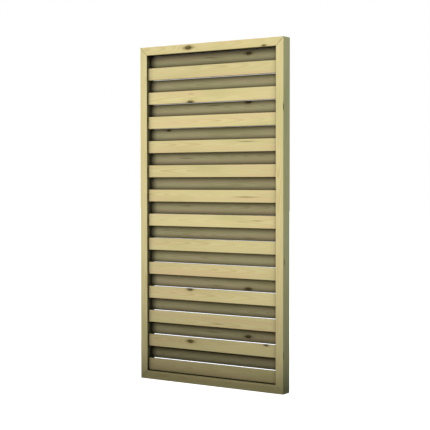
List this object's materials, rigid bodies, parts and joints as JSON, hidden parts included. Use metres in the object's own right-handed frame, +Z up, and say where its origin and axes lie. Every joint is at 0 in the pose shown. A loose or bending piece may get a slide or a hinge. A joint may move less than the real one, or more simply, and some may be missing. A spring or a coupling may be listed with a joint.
{
  "type": "garden privacy screen",
  "caption": "Upright timber privacy screen: a mitred frame holds horizontal slats, staggered front and rear, that block the view and let air through.",
  "frame": {"origin": "under the middle of the screen, on the plane it stands on", "axes": "+X along the width, +Y from the front face to the rear face, +Z up"},
  "size_m": [0.9, 0.065, 1.8],
  "materials": {
    "frame_timber": "planed pressure-treated pine, pale yellow-green, unpainted",
    "slat_timber": "planed pressure-treated pine with eased edges, pale yellow-green, unpainted",
    "dowel_timber": "turned beech, glued in",
    "stainless_steel": "bright stainless steel"
  },
  "bodies": {
    "root": {"left_stile": "frame_timber", "right_stile": "frame_timber", "top_rail": "frame_timber", "bottom_rail": "frame_timber", "front_slat_01": "slat_timber", "front_slat_02": "slat_timber", "front_slat_03": "slat_timber", "front_slat_04": "slat_timber", "front_slat_05": "slat_timber", "front_slat_06": "slat_timber", "front_slat_07": "slat_timber", "front_slat_08": "slat_timber", "front_slat_09": "slat_timber", "front_slat_10": "slat_timber", "front_slat_11": "slat_timber", "front_slat_12": "slat_timber", "front_slat_13": "slat_timber", "rear_slat_01": "slat_timber", "rear_slat_02": "slat_timber", "rear_slat_03": "slat_timber", "rear_slat_04": "slat_timber", "rear_slat_05": "slat_timber", "rear_slat_06": "slat_timber", "rear_slat_07": "slat_timber", "rear_slat_08": "slat_timber", "rear_slat_09": "slat_timber", "rear_slat_10": "slat_timber", "rear_slat_11": "slat_timber", "rear_slat_12": "slat_timber", "rear_slat_13": "slat_timber", "corner_dowels": "dowel_timber", "corner_screws": "stainless_steel"}
  },
  "joints": []
}
